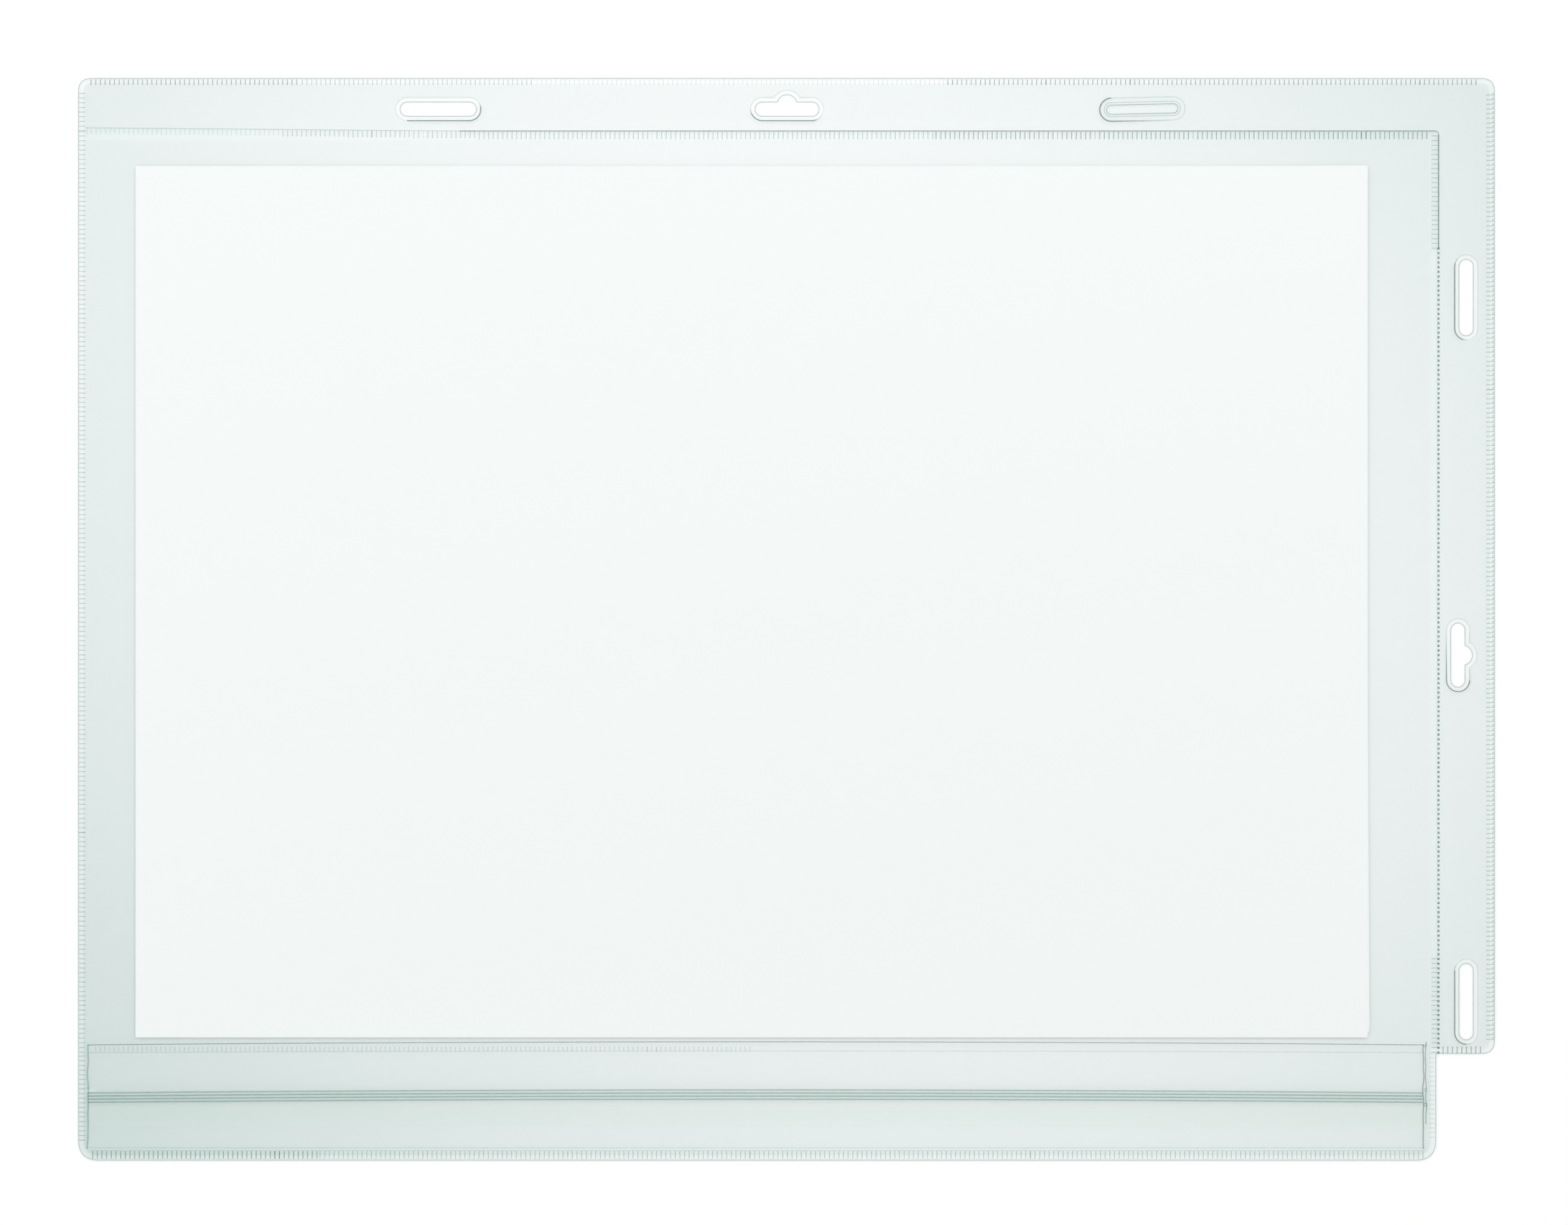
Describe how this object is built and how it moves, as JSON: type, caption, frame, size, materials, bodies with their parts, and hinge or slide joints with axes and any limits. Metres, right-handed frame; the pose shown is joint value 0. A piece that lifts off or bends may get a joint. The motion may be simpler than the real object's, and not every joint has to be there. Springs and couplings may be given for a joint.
{
  "type": "document pocket",
  "caption": "Clear welded plastic pocket with a hanging flange, punched slots and a press-seal closure, holding blank white paper.",
  "frame": {"origin": "under the middle of the overall rectangle, on the surface the pocket lies on", "axes": "+X to the right seen from the front, +Y towards the top flange, +Z out of the front face, the pocket lying on its back"},
  "size_m": [0.483, 0.369, 0.0016],
  "materials": {
    "back_sheet": "clear soft PVC film, glossy",
    "flange_facing": "clear soft PVC film, glossy, with pressed weld lines",
    "front_sheet": "clear soft PVC film, glossy, with pressed weld lines",
    "lower_seal_strip": "clear soft PVC profile strip, faint grey-green",
    "upper_seal_strip": "clear soft PVC profile strip, faint grey-green",
    "insert_sheet_back": "uncoated white paper, matte",
    "insert_sheet_front": "uncoated white paper, matte"
  },
  "bodies": {
    "root": {"back_sheet": "back_sheet", "flange_facing": "flange_facing", "front_sheet": "front_sheet", "lower_seal_strip": "lower_seal_strip", "upper_seal_strip": "upper_seal_strip", "insert_sheet_back": "insert_sheet_back", "insert_sheet_front": "insert_sheet_front"}
  },
  "joints": []
}
